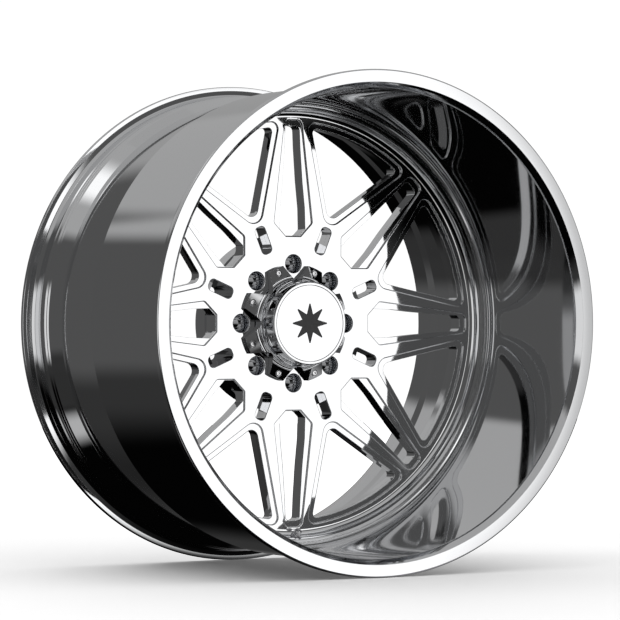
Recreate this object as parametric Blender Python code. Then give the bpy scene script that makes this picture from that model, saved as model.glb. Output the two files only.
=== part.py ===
"""A deep-lip forged wheel: welded barrel and spoked centre, bolt-on centre cap and clamp-in valve.

The wheel's axis is world Y and its street side faces -Y. The origin is the middle of the hub's mounting face,
so a depth below is a world y measured from that face. Sizes are in millimetres until a mesh is made.
Pieces turned about the wheel's axis are drawn in the wheel's own frame, whose X points to 12 o'clock, whose Y
is world +X and whose Z is world +Y. Pieces of the valve are drawn in a frame on the valve's axis.
"""

import math

import bmesh
import bpy
from mathutils import Matrix, Vector

MM = 0.001
GAP = 0.3  # clearance between pieces that touch

# Rim: a 26 x 16 in barrel with its outer half carrying the deep lip.
FLANGE_R = 347.0
FRONT_Y = -312.5
REAR_Y = 110.4
SEAT_R = 330.0
WELL_R = 320.0
LIP_FRONT_R = 322.0
LIP_BACK_R = 318.5
LIP_BACK_Y = -87.0
REAR_INNER_R = 312.5
REAR_MOUTH_R = 316.0
RIM_SEGMENTS = 64

# Centre: a flat-faced forging of eight split spokes.
FACE_Y = -64.0
SPOKE_BACK_Y = -37.0
SEAM_R = 307.0
SEAM_FRONT_Y = -77.0
SEAM_BACK_Y = -32.0
COVE_R = 294.0
PAD_R = 125.0
BORE_R = 62.55
SPOKES = 8
PITCH = math.tau / SPOKES
LEDGE_DEPTH = 3.0

# Lug holes, cap screws and hub slots.
LUG_CIRCLE_R = 85.0
LUG_MOUTH_R = 13.2
LUG_STUD_R = 8.5
LUG_CONE_TOP_Y = -56.0
LUG_CONE_HALF_ANGLE = math.radians(30.0)
SLOT_IN_R = 107.5
SLOT_OUT_R = 147.5
SLOT_WIDTH = 17.0
SLOT_FLOOR_Y = -35.5

# Centre cap.
CAP_TOP_Y = -111.5
CAP_SEGMENTS = 48
CAP_BAND_R = 59.5
CAP_WALL_IN_R = 55.0
CAP_COLLAR_R = 68.6
TAB_R = 84.5
TAB_EDGE_Y = -71.0  # the tabs' top at their outer edge
TAB_TOP_Y = -75.3  # and at the collar
SCALLOP_TIP_R = 54.6  # where the straight sides of a scallop between two tabs would meet
SCALLOP_SLOPE = 0.77
SCALLOP_CORNER_R = 11.0
SCALLOP_OUT_R = 96.0
COVE_TOP_Y = -91.0  # where the cap's cove meets its band
SPIGOT_R = 61.5
SPIGOT_END_Y = -53.0
BADGE_R = 54.0
BADGE_TOP_Y = -111.2
BADGE_FLOOR_Y = -107.6
SCREW_CIRCLE_R = 77.0
SCREW_HEAD_R = 4.75
SCREW_SHANK_R = 2.0
SCREW_END_Y = -56.0
SCREW_SEAT_Y = -71.2  # the counterbore's floor in each tab

# Valve: on an axis at 45 degrees through the step between barrel and centre, at 6 o'clock.
VALVE_SEAT_R = 303.5
VALVE_SEAT_Y = -70.0
VALVE_TILT = math.radians(45.0)
VALVE_INNER_SEAT = -16.0  # the tyre side's seat, along the valve's axis
SPOTFACE_R = 8.5
STEM_R = 4.0
STEM_END = 10.4
PIN_R = 0.55
PIN_TOP = 9.6

TURN = Matrix(((0, 1, 0), (0, 0, 1), (1, 0, 0))).to_4x4()  # wheel's frame to world


# --- outlines ---------------------------------------------------------------------------------------------

def arc(centre_r, centre_h, radius, start_deg, end_deg, steps):
    """Points on a round stretch of a turned profile; 0 degrees points outwards, 90 towards +h."""
    angles = (math.radians(start_deg + (end_deg - start_deg) * i / steps) for i in range(steps + 1))
    return [(centre_r + radius * math.cos(a), centre_h + radius * math.sin(a)) for a in angles]


def rounded(corners, steps=2):
    """A polygon of (x, y, corner radius) with each corner replaced by an arc."""
    outline = []
    for i, (x, y, radius) in enumerate(corners):
        here = Vector((x, y))
        if radius == 0:
            outline.append(here)
            continue
        before = (Vector(corners[i - 1][:2]) - here).normalized()
        after = (Vector(corners[(i + 1) % len(corners)][:2]) - here).normalized()
        half = before.angle(after) / 2
        middle = (before + after).normalized()
        centre = here + middle * (radius / math.sin(half))
        sweep = math.pi - 2 * half
        turn = math.copysign(1.0, before.cross(after))
        for k in range(steps + 1):
            a = turn * sweep * (0.5 - k / steps)
            spoke = Matrix.Rotation(a, 2) @ (-middle)
            outline.append(centre + spoke * radius)
    return outline


def mirrored(half):
    """Both sides of an outline given by its +v half, as (u, v, corner radius) from the hub outwards."""
    return half + [(u, -v, r) for u, v, r in reversed(half)]


def narrow_window():
    """The coffin-shaped window on a spoke's middle line: its face edge and its through opening."""
    edge = mirrored([(124.3, 12.0, 0), (143.5, 31.0, 5.0), (290.5, 13.6, 9.0)])
    hub_end = [(125.0, 11.3, 0), (134.8, 21.0, 2.0)]
    rim_end = [(252.0, 12.8, 0), (281.5, 11.6, 6.5)]
    through = mirrored(hub_end + [(165.0, 20.2, 0), (203.0, 16.2, 0)] + rim_end)
    return rounded(edge), rounded(through)


def fan_outline(tip_u, slope, outer_r, tip_radius, corner_radius):
    """A triangle with straight sides v = slope * (u - tip_u) and an outer side on the circle outer_r."""
    a = 1 + slope**2
    b = -2 * slope**2 * tip_u
    c = slope**2 * tip_u**2 - outer_r**2
    corner_u = (-b + math.sqrt(b * b - 4 * a * c)) / (2 * a)
    half_angle = math.atan2(slope * (corner_u - tip_u), corner_u)
    rim = []
    steps = 6
    for i in range(steps + 1):
        t = half_angle * (1 - 2 * i / steps)
        radius = corner_radius if i in (0, steps) else 0
        rim.append((outer_r * math.cos(t), outer_r * math.sin(t), radius))
    return rounded([(tip_u, 0.0, tip_radius)] + rim)


def wide_window():
    """The triangular window between two spokes: its face edge and its through opening."""
    edge = fan_outline(142.9, 0.677, 288.5, 15.4, 10.0)
    through = fan_outline(156.0, 0.677, 281.0, 11.0, 6.0)
    return edge, through


# --- meshes -----------------------------------------------------------------------------------------------

def prism(bm, outline, low, high, angle=0.0):
    """An upright closed prism over an outline of (u, v) points, turned about the Z axis."""
    turn = Matrix.Rotation(angle, 4, "Z")
    rings = [[bm.verts.new(turn @ Vector((u, v, h)) * MM) for u, v in outline] for h in (low, high)]
    bm.faces.new(rings[0])
    bm.faces.new(rings[1])
    for i in range(len(outline)):
        j = (i + 1) % len(outline)
        bm.faces.new((rings[0][i], rings[0][j], rings[1][j], rings[1][i]))


def revolve(bm, profile, segments, centre=(0.0, 0.0)):
    """A turned closed body from a profile of (r, h); a point at r = 0 becomes a pole."""
    rings = []
    for r, h in profile:
        if r == 0:
            rings.append([bm.verts.new(Vector((*centre, h)) * MM)] * segments)
            continue
        ring = []
        for i in range(segments):
            a = math.tau * i / segments
            point = (centre[0] + r * math.cos(a), centre[1] + r * math.sin(a), h)
            ring.append(bm.verts.new(Vector(point) * MM))
        rings.append(ring)
    for k, ring in enumerate(rings):
        following = rings[(k + 1) % len(rings)]
        if profile[k][0] == 0 and profile[(k + 1) % len(rings)][0] == 0:
            continue
        for i in range(segments):
            j = (i + 1) % segments
            corners = list(dict.fromkeys((ring[i], ring[j], following[j], following[i])))
            bm.faces.new(corners)


def around(radius, phase=0.0):
    """The eight places at a radius, one per spoke, as (x, y, angle)."""
    angles = (PITCH * k + phase for k in range(SPOKES))
    return [(radius * math.cos(a), radius * math.sin(a), a) for a in angles]


def finish(bm, name, frame, material=None, smooth_deg=35.0):
    """Makes an object of a bmesh, its faces pointing out, standing in the given frame."""
    bmesh.ops.recalc_face_normals(bm, faces=bm.faces)
    mesh = bpy.data.meshes.new(name)
    bm.to_mesh(mesh)
    bm.free()
    mesh.shade_smooth()
    mesh.set_sharp_from_angle(angle=math.radians(smooth_deg))
    obj = bpy.data.objects.new(name, mesh)
    bpy.context.scene.collection.objects.link(obj)
    obj.parent = frame
    if material:
        mesh.materials.append(material)
    return obj


def turned(name, profile, segments, frame, material):
    bm = bmesh.new()
    revolve(bm, profile, segments)
    return finish(bm, name, frame, material)


def cut(target, cutter):
    """Takes a hidden cutter out of an object with a live Boolean."""
    cutter.hide_render = True
    cutter.display_type = "WIRE"
    modifier = target.modifiers.new(cutter.name, "BOOLEAN")
    modifier.operation = "DIFFERENCE"
    modifier.solver = "EXACT"
    modifier.object = cutter


def frame_at(name, matrix):
    empty = bpy.data.objects.new(name, None)
    bpy.context.scene.collection.objects.link(empty)
    empty.matrix_world = matrix
    return empty


# --- materials --------------------------------------------------------------------------------------------

def material(name, colour, metallic, roughness):
    mat = bpy.data.materials.new(name)
    mat.use_nodes = True
    shader = mat.node_tree.nodes["Principled BSDF"]
    shader.inputs["Base Color"].default_value = (*colour, 1.0)
    shader.inputs["Metallic"].default_value = metallic
    shader.inputs["Roughness"].default_value = roughness
    mat.diffuse_color = (*colour, 1.0)
    return mat


# --- the wheel --------------------------------------------------------------------------------------------

def rim_barrel(frame, mat):
    """Front flange, deep lip, drop well, rear seat and flange, and the shelf that the centre is welded to."""
    outside = [
        (FLANGE_R - 1.7, FRONT_Y), (FLANGE_R, FRONT_Y + 1.7), (FLANGE_R, FRONT_Y + 10.5),
        (SEAT_R + 2.5, FRONT_Y + 12.5), (SEAT_R, FRONT_Y + 15.5), (SEAT_R, -79.5), (WELL_R, -70.0),
        (WELL_R, 33.0), (SEAT_R - 0.7, 56.5), (SEAT_R + 1.8, 64.0), (SEAT_R - 0.7, 72.0),
        (SEAT_R + 1.0, REAR_Y - 15.0), (SEAT_R + 4.0, REAR_Y - 10.0), (FLANGE_R, REAR_Y - 8.0),
        (FLANGE_R, REAR_Y - 1.7), (FLANGE_R - 1.7, REAR_Y),
    ]
    inside_rear = [
        (REAR_MOUTH_R + 2.0, REAR_Y), (REAR_MOUTH_R, REAR_Y - 2.0), (REAR_MOUTH_R, 73.0),
        (REAR_INNER_R, 49.0), (REAR_INNER_R, SEAM_BACK_Y), (SEAM_R + GAP, SEAM_BACK_Y),
        (SEAM_R + GAP, SEAM_FRONT_Y + 0.5),
    ]
    step_rings = [(309.0, -78.6), (311.0, -79.2), (313.0, -78.4), (314.6, -80.6), (317.0, -81.4)]
    lip = [
        (LIP_BACK_R, LIP_BACK_Y), (LIP_FRONT_R, FRONT_Y + 9.0), (LIP_FRONT_R + 3.0, FRONT_Y + 3.8),
        (SEAT_R - 1.2, FRONT_Y + 0.8), (SEAT_R - 0.2, FRONT_Y),
    ]
    return turned("rim_barrel", outside + inside_rear + step_rings + lip, RIM_SEGMENTS, frame, mat)


def wheel_centre(frame, mat):
    """The spoked disc: flat face, hub pad, bore, and a cove that sweeps up to the seam with the barrel."""
    cove = [
        (COVE_R + 11.5 * math.cos(a), SEAM_FRONT_Y + (FACE_Y - SEAM_FRONT_Y) * math.sin(a))
        for a in (math.pi / 2 * i / 5 for i in range(5, -1, -1))
    ]
    profile = (
        [(BORE_R, FACE_Y + 1.0), (BORE_R + 1.0, FACE_Y)]
        + cove
        + [
            (SEAM_R - 0.8, SEAM_FRONT_Y), (SEAM_R, SEAM_FRONT_Y + 0.8), (SEAM_R, SEAM_BACK_Y),
            (297.0, SEAM_BACK_Y), (295.0, SPOKE_BACK_Y), (PAD_R + 9.0, SPOKE_BACK_Y),
            (PAD_R + 2.5, SPOKE_BACK_Y + 2.6), (PAD_R, SPOKE_BACK_Y + 9.0), (PAD_R, -1.0), (PAD_R - 1.0, 0.0),
            (BORE_R + 1.5, 0.0), (BORE_R, -1.5),
        ]
    )
    centre = turned("wheel_centre", profile, RIM_SEGMENTS, frame, mat)
    cut(centre, ledge_cutter(frame))
    cut(centre, window_cutter(frame))
    cut(centre, hub_hole_cutter(frame))
    return centre


def ledge_cutter(frame):
    """Shallow pockets that leave a milled ledge around every window."""
    bm = bmesh.new()
    for k in range(SPOKES):
        prism(bm, narrow_window()[0], FACE_Y - 1.0, FACE_Y + LEDGE_DEPTH, PITCH * k)
        prism(bm, wide_window()[0], FACE_Y - 1.0, FACE_Y + LEDGE_DEPTH, PITCH * (k + 0.5))
    return finish(bm, "ledge_cutter", frame)


def window_cutter(frame):
    """Windows right through the disc, and the slots that end over the hub pad."""
    bm = bmesh.new()
    slot = mirrored([(SLOT_IN_R, SLOT_WIDTH / 2, 6.5), (SLOT_OUT_R, SLOT_WIDTH / 2, 6.5)])
    for k in range(SPOKES):
        prism(bm, narrow_window()[1], FACE_Y - 2.0, SPOKE_BACK_Y + 8.0, PITCH * k)
        prism(bm, wide_window()[1], FACE_Y - 2.0, SPOKE_BACK_Y + 8.0, PITCH * (k + 0.5))
        prism(bm, rounded(slot), FACE_Y - 2.0, SLOT_FLOOR_Y, PITCH * (k + 0.5))
    return finish(bm, "window_cutter", frame)


def hub_hole_cutter(frame):
    """Lug holes with conical seats, and blind holes for the cap's screws."""
    bm = bmesh.new()
    cone_length = (LUG_MOUTH_R - LUG_STUD_R) / math.tan(LUG_CONE_HALF_ANGLE)
    lug = [
        (0, FACE_Y - 1.0), (LUG_MOUTH_R, FACE_Y - 1.0), (LUG_MOUTH_R, LUG_CONE_TOP_Y),
        (LUG_STUD_R, LUG_CONE_TOP_Y + cone_length), (LUG_STUD_R, 1.0), (0, 1.0),
    ]
    for x, y, _ in around(LUG_CIRCLE_R):
        revolve(bm, lug, 18, (x, y))
    tapped = [
        (0, FACE_Y - 1.0), (SCREW_SHANK_R + GAP, FACE_Y - 1.0), (SCREW_SHANK_R + GAP, SCREW_END_Y + 1.0),
        (0, SCREW_END_Y + 2.0),
    ]
    for x, y, _ in around(SCREW_CIRCLE_R, PITCH / 2):
        revolve(bm, tapped, 8, (x, y))
    return finish(bm, "hub_hole_cutter", frame)


def weld_bead(frame, mat):
    """The ring of weld that joins the centre to the barrel, on the brake side of the seam."""
    floor = SEAM_BACK_Y + GAP
    angles = (math.pi * i / 4 for i in range(5))
    section = [(SEAM_R + 0.15 + 3.8 * math.cos(a), floor + 3.2 * math.sin(a)) for a in angles]
    return turned("weld_bead", section, RIM_SEGMENTS, frame, mat)


# --- the centre cap ---------------------------------------------------------------------------------------

def cap_body(frame, mat):
    """A hollow cap: spigot in the bore, collar on the face, cove up to a plain band, recessed top."""
    base = FACE_Y - GAP
    cove_foot_y = TAB_TOP_Y - 0.9
    spigot = [
        (CAP_WALL_IN_R, SPIGOT_END_Y), (SPIGOT_R - 0.8, SPIGOT_END_Y), (SPIGOT_R, SPIGOT_END_Y - 0.8),
        (SPIGOT_R, -56.4), (SPIGOT_R - 2.4, -56.4), (SPIGOT_R - 2.4, -60.2), (SPIGOT_R, -60.2),
        (SPIGOT_R, base),
    ]
    tabs = [
        (TAB_R, base), (TAB_R, TAB_EDGE_Y + 0.6), (TAB_R - 0.5, TAB_EDGE_Y - 0.1), (CAP_COLLAR_R, TAB_TOP_Y),
        (CAP_COLLAR_R - 0.4, TAB_TOP_Y - 1.2), (CAP_COLLAR_R - 1.6, TAB_TOP_Y - 1.2),
    ]
    cove_depth = CAP_COLLAR_R - 1.9 - CAP_BAND_R
    cove = [
        (CAP_BAND_R + cove_depth * (1 - math.cos(a)), COVE_TOP_Y + (cove_foot_y - COVE_TOP_Y) * math.sin(a))
        for a in (math.pi / 2 * i / 4 for i in range(4, -1, -1))
    ]
    top = [
        (CAP_BAND_R, CAP_TOP_Y + 1.7), (CAP_BAND_R - 1.7, CAP_TOP_Y), (BADGE_R + 0.8, CAP_TOP_Y),
        (BADGE_R + GAP, CAP_TOP_Y + 0.5), (BADGE_R + GAP, BADGE_FLOOR_Y), (0, BADGE_FLOOR_Y),
    ]
    hollow = [
        (0, BADGE_FLOOR_Y + 3.6), (CAP_WALL_IN_R - 4.0, BADGE_FLOOR_Y + 3.6),
        (CAP_WALL_IN_R, BADGE_FLOOR_Y + 7.6),
    ]
    cap = turned("cap_body", spigot + tabs + cove + top + hollow, CAP_SEGMENTS, frame, mat)
    cut(cap, tab_cutter(frame))
    return cap


def tab_cutter(frame):
    """Scallops around the lug holes, which leave eight tabs and bite into the cove, and the screws' holes."""
    bm = bmesh.new()
    low, high = COVE_TOP_Y - 2.0, FACE_Y + 1.0
    half_width = SCALLOP_SLOPE * (SCALLOP_OUT_R - SCALLOP_TIP_R)
    side = (SCALLOP_OUT_R, half_width, 0)
    other_side = (SCALLOP_OUT_R, -half_width, 0)
    scallop = rounded([(SCALLOP_TIP_R, 0, SCALLOP_CORNER_R), other_side, side], 6)
    for k in range(SPOKES):
        prism(bm, scallop, low, high, PITCH * k)
    head_r, shank_r = SCREW_HEAD_R + GAP, SCREW_SHANK_R + GAP
    hole = [
        (0, low), (head_r, low), (head_r, SCREW_SEAT_Y), (shank_r, SCREW_SEAT_Y), (shank_r, high), (0, high),
    ]
    for x, y, _ in around(SCREW_CIRCLE_R, PITCH / 2):
        revolve(bm, hole, 12, (x, y))
    return finish(bm, "tab_cutter", frame)


def cap_screws(frame, mat):
    """Eight button-head screws with hexagon sockets, one through each tab."""
    under = SCREW_SEAT_Y - GAP
    top = under - 2.6
    profile = [
        (0, SCREW_END_Y), (SCREW_SHANK_R - 0.5, SCREW_END_Y), (SCREW_SHANK_R, SCREW_END_Y - 0.5),
        (SCREW_SHANK_R, under), (SCREW_HEAD_R, under), (SCREW_HEAD_R, under - 1.4), (SCREW_HEAD_R - 1.4, top),
        (0, top),
    ]
    socket_r = 1.7
    for k, (x, y, angle) in enumerate(around(SCREW_CIRCLE_R, PITCH / 2), 1):
        screw = turned(f"cap_screw_{k}", profile, 12, frame, mat)
        screw.location = Vector((x, y, 0)) * MM
        screw.rotation_euler = (0, 0, angle)
        bm = bmesh.new()
        corners = (math.tau * i / 6 for i in range(6))
        hexagon = [(socket_r * math.cos(a), socket_r * math.sin(a)) for a in corners]
        prism(bm, hexagon, top - 0.4, under - 0.9)
        socket = finish(bm, f"socket_cutter_{k}", screw)
        cut(screw, socket)


def cap_o_ring(frame, mat):
    section = arc(60.85, -58.3, 1.35, 0, 300, 5)
    return turned("cap_o_ring", section, CAP_SEGMENTS, frame, mat)


def cap_badge(frame, badge_mat, pad_mat, emblem_mat):
    """A plain disc bonded into the cap's top by a foam pad, with a dark rosette inlay of no meaning."""
    pad_top = BADGE_FLOOR_Y - GAP - 1.0
    pad_r, pad_base = BADGE_R - 2.0, BADGE_FLOOR_Y - GAP
    pad = [(0, pad_base), (pad_r, pad_base), (pad_r, pad_top), (0, pad_top)]
    turned("badge_adhesive_pad", pad, 32, frame, pad_mat)
    disc = [
        (0, pad_top - GAP), (BADGE_R, pad_top - GAP), (BADGE_R, BADGE_TOP_Y + 0.5),
        (BADGE_R - 0.5, BADGE_TOP_Y),
        (0, BADGE_TOP_Y),
    ]
    badge = turned("cap_badge", disc, CAP_SEGMENTS, frame, badge_mat)
    bm = bmesh.new()
    prism(bm, rosette(GAP), BADGE_TOP_Y - 1.0, BADGE_TOP_Y + 1.0)
    cut(badge, finish(bm, "inlay_cutter", frame))
    bm = bmesh.new()
    prism(bm, rosette(0.0), BADGE_TOP_Y, BADGE_TOP_Y + 1.0 - GAP)
    finish(bm, "badge_inlay", frame, emblem_mat)


def rosette(grow):
    """An eight-lobed star outline, grown outwards by a clearance."""
    outline = []
    for i in range(2 * SPOKES):
        r = (30.0 if i % 2 == 0 else 13.0) + grow * (2.5 if i % 2 == 0 else 1.2)
        a = math.pi * i / SPOKES
        outline.append((r * math.cos(a), r * math.sin(a)))
    return outline


# --- the valve --------------------------------------------------------------------------------------------

def valve_frame():
    """Stands on the valve's seat at 6 o'clock, Z pointing the way the dust cap unscrews."""
    out = Vector((0, -math.sin(VALVE_TILT), math.cos(VALVE_TILT)))
    side = Vector((1, 0, 0))
    matrix = Matrix((side, out.cross(side), out)).transposed().to_4x4()
    matrix.translation = Vector((0, VALVE_SEAT_Y, -VALVE_SEAT_R)) * MM
    return frame_at("valve_axis", matrix)


def valve_hole_cutter(frame, name):
    """The stem's hole, with a flat seat at the street side and another in the well."""
    far = 40.0
    profile = [
        (0, -far), (SPOTFACE_R, -far), (SPOTFACE_R, VALVE_INNER_SEAT), (STEM_R + GAP, VALVE_INNER_SEAT),
        (STEM_R + GAP, 0), (SPOTFACE_R, 0), (SPOTFACE_R, far), (0, far),
    ]
    bm = bmesh.new()
    revolve(bm, profile, 24)
    return finish(bm, name, frame)


def valve(frame, mats):
    """A clamp-in stem with its seals, washer and nut, a core with a sprung pin, and a dust cap."""
    seat = VALVE_INNER_SEAT - GAP
    flange_top = seat - 2.4 - GAP
    bore_r = PIN_R + 1.45
    turned(
        "valve_grommet",
        [(STEM_R + GAP, seat), (7.6, seat), (8.0, seat - 0.6), (8.0, seat - 2.4), (STEM_R + GAP, seat - 2.4)],
        24, frame, mats["rubber"],
    )
    turned(
        "valve_stem",
        [
            (bore_r, flange_top - 3.0), (6.6, flange_top - 3.0), (7.4, flange_top - 2.2), (7.4, flange_top),
            (STEM_R, flange_top), (STEM_R, STEM_END - 0.7), (STEM_R - 0.7, STEM_END), (bore_r, STEM_END),
        ],
        24, frame, mats["metal"],
    )
    turned(
        "valve_washer",
        [(STEM_R + GAP, GAP), (7.0, GAP), (7.3, 0.6), (7.3, 1.3), (STEM_R + GAP, 1.3)],
        24, frame, mats["metal"],
    )
    nut(frame, 1.3 + GAP, mats["metal"])
    core_low = 1.0
    turned(
        "valve_core",
        [
            (PIN_R + GAP, core_low), (bore_r - GAP - 0.4, core_low), (bore_r - GAP, core_low + 0.4),
            (bore_r - GAP, PIN_TOP - 0.6), (PIN_R + GAP, PIN_TOP - 0.6),
        ],
        12, frame, mats["brass"],
    )
    turned(
        "valve_pin",
        [
            (0, core_low - 3.0), (PIN_R, core_low - 3.0), (PIN_R, PIN_TOP - 0.2), (PIN_R - 0.2, PIN_TOP),
            (0, PIN_TOP),
        ],
        8, frame, mats["brass"],
    )
    seal_low = STEM_END + GAP
    cap_out_r = STEM_R + GAP + 0.9
    turned(
        "valve_cap_seal",
        [(1.6, seal_low), (STEM_R - 0.3, seal_low), (STEM_R - 0.3, seal_low + 0.8), (1.6, seal_low + 0.8)],
        16, frame, mats["rubber"],
    )
    cap_low = 6.8
    cap_top = seal_low + 0.8 + GAP
    turned(
        "valve_cap",
        [
            (STEM_R + GAP, cap_low), (cap_out_r, cap_low), (cap_out_r, cap_top),
            (cap_out_r - 0.9, cap_top + 1.1), (0, cap_top + 1.1), (0, cap_top), (STEM_R + GAP, cap_top),
        ],
        24, frame, mats["metal"],
    )


def nut(frame, low, mat):
    """A hexagon nut with chamfered corners."""
    across_flats, height = 12.0, 5.0
    corner = across_flats / 2 / math.cos(math.pi / 6)
    bm = bmesh.new()
    hexagon = [(corner * math.cos(math.pi / 3 * i), corner * math.sin(math.pi / 3 * i)) for i in range(6)]
    prism(bm, hexagon, low, low + height)
    body = finish(bm, "valve_nut", frame, mat)
    top, bore_r, past = low + height, STEM_R + GAP, 1.0
    bm = bmesh.new()
    revolve(bm, [(0, low - past), (bore_r, low - past), (bore_r, top + past), (0, top + past)], 24)
    cut(body, finish(bm, "nut_bore_cutter", frame))
    bm = bmesh.new()
    far = 3.0
    revolve(bm, [(corner - 1.1, top + 0.2), (corner + far, top + 0.2), (corner + far, top - 1.6)], 24)
    cut(body, finish(bm, "nut_chamfer_cutter", frame))


def main():
    for obj in list(bpy.data.objects):
        bpy.data.objects.remove(obj, do_unlink=True)
    polished = material("polished_forging", (0.80, 0.81, 0.83), 1.0, 0.05)
    machined = material("machined_alloy", (0.72, 0.73, 0.75), 1.0, 0.22)
    mirror = material("polished_cap", (0.86, 0.87, 0.88), 1.0, 0.04)
    steel = material("screw_steel", (0.62, 0.62, 0.63), 1.0, 0.15)
    dark = material("dark_inlay", (0.03, 0.03, 0.032), 0.0, 0.35)
    foam = material("adhesive_foam", (0.05, 0.05, 0.05), 0.0, 0.9)
    rubber = material("seal_rubber", (0.02, 0.02, 0.02), 0.0, 0.7)
    bright = material("valve_metal", (0.78, 0.78, 0.79), 1.0, 0.08)
    brass = material("core_brass", (0.75, 0.58, 0.28), 1.0, 0.2)
    weld = material("weld_metal", (0.55, 0.56, 0.58), 1.0, 0.35)

    wheel = frame_at("wheel_axis", TURN)
    stem_axis = valve_frame()
    barrel = rim_barrel(wheel, polished)
    centre = wheel_centre(wheel, machined)
    cut(barrel, valve_hole_cutter(stem_axis, "barrel_valve_cutter"))
    cut(centre, valve_hole_cutter(stem_axis, "centre_valve_cutter"))
    weld_bead(wheel, weld)
    cap_body(wheel, mirror)
    cap_screws(wheel, steel)
    cap_o_ring(wheel, rubber)
    cap_badge(wheel, mirror, foam, dark)
    valve(stem_axis, {"metal": bright, "rubber": rubber, "brass": brass})


main()
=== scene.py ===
"""The looks of a deep-lip forged wheel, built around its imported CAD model.

Sizes are in millimetres in the wheel's own frame: u points to 12 o'clock, v to world +X and h, the depth,
to world +Y, measured from the hub's mounting face. A Body turns them into world metres. Radii and depths
that the CAD boxes give are read from the frame, and the others repeat the design's own.
"""

import math

import bmesh
import bpy
import numpy as np
from mathutils import Matrix, Vector
from mathutils.geometry import delaunay_2d_cdt


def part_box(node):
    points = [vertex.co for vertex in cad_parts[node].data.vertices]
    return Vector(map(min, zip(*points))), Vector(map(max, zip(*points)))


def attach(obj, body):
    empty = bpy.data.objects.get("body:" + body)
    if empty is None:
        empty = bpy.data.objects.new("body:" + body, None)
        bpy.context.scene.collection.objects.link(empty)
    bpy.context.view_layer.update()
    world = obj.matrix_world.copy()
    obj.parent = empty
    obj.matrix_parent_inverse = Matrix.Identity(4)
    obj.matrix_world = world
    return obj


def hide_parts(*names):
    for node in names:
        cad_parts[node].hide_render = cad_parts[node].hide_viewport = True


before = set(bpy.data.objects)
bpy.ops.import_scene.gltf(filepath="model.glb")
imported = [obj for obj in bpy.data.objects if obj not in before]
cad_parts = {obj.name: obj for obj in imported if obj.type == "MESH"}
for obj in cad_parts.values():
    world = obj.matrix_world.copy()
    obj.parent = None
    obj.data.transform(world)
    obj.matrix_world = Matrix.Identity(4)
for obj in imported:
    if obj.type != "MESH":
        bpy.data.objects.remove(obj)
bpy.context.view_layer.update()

MM = 0.001
WELD_M = 2e-6  # patches whose points are this close are one skin
SLIVER_M = 8e-6  # edges that a cut leaves shorter than this are closed up


def box_mm(node):
    return [Vector(corner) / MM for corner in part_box(node)]


rim_low, rim_high = box_mm("rim_barrel")
centre_low, centre_high = box_mm("wheel_centre")
cap_low, cap_high = box_mm("cap_body")
badge_low, badge_high = box_mm("cap_badge")
inlay_low, inlay_high = box_mm("badge_inlay")

# Rim.
FLANGE_R = rim_high.z
FRONT = rim_low.y
REAR = rim_high.y
SEAT_R = 330.0
WELL_R = 320.0
LIP_FRONT_R = 322.0
LIP_BACK_R = 318.5
LIP_BACK = -87.0
REAR_INNER_R = 312.5
REAR_MOUTH_R = 316.0
FRONT_SECTION_END = -79.5  # where the plain front section steps down to the well
GAP = 0.3
TURNS = 384  # steps round the wheel

# Centre.
FACE = -64.0
SPOKE_BACK = -37.0
SEAM_R = centre_high.z
SEAM_FRONT = centre_low.y
SEAM_BACK = -32.0
COVE_R = 294.0
PAD_R = 125.0
PAD_FILLET = 9.0
BORE_R = 62.55
SPOKES = 8
PITCH_DEG = 360 / SPOKES
LEDGE = 3.0  # depth of the milled ledge round every window
LUG_CIRCLE_R = 85.0
LUG_MOUTH_R = 13.2
LUG_CONE_TOP = -56.0
LUG_STUD_R = 8.5
SLOT_IN_R = 107.5
SLOT_OUT_R = 147.5
SLOT_HALF = 8.5
SLOT_CORNER_R = 6.5
SLOT_FLOOR = -35.5
MILLED_TO = -53.0  # depth of the milled upper part of every window's wall
PAST_SPOKES = -28.5  # depth behind the spokes where a window's cutter ends
CLEAR = 0.05  # keeps a cutter's sides off the walls they carry on

# Centre cap.
CAP_TOP = cap_low.y
BAND_R = 59.5
COLLAR_R = 68.6
TAB_R = 84.5
TAB_EDGE = -71.0
TAB_TOP = -75.3
COVE_TOP = -91.0
SCALLOP_TIP_R = 54.6  # where the straight sides of a scallop between two tabs would meet
SCALLOP_SLOPE = 0.77
SCALLOP_CORNER_R = 11.0
SCALLOP_OUT_R = 96.0
SPIGOT_R = 61.5
SPIGOT_END = cap_high.y
CAP_WALL_IN_R = 55.0
BADGE_R = badge_high.z
BADGE_TOP = badge_low.y
BADGE_FLOOR = -107.6
SCREW_CIRCLE_R = 77.0
SCREW_HEAD_R = 4.75
SCREW_SHANK_R = 2.0
SCREW_END = -56.0
SCREW_SEAT = -71.2

# Valve, on an axis at 45 degrees at 6 o'clock. Its depths run outwards along that axis.
VALVE_SEAT_R = 303.5
VALVE_SEAT = -70.0
VALVE_TILT = math.radians(45.0)
VALVE_INNER_SEAT = -16.0
SPOTFACE_R = 8.5
STEM_R = 4.0
STEM_END = 10.4

WHEEL = Matrix(((0, 1, 0), (0, 0, 1), (1, 0, 0))).to_4x4()


def valve_matrix():
    out = Vector((0, -math.sin(VALVE_TILT), math.cos(VALVE_TILT)))
    side = Vector((1, 0, 0))
    matrix = Matrix((side, out.cross(side), out)).transposed().to_4x4()
    matrix.translation = (0, VALVE_SEAT, -VALVE_SEAT_R)
    return matrix


VALVE = valve_matrix()


# --- outlines ---------------------------------------------------------------------------------------------

def steps(start, end, count):
    """Numbers from start to end in count equal steps."""
    return [start + (end - start) * i / count for i in range(count + 1)]


def polar(radius, angle, centre=(0.0, 0.0)):
    return (centre[0] + radius * math.cos(angle), centre[1] + radius * math.sin(angle))


def circle(radius, count, centre=(0.0, 0.0)):
    return [polar(radius, math.tau * i / count, centre) for i in range(count)]


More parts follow.
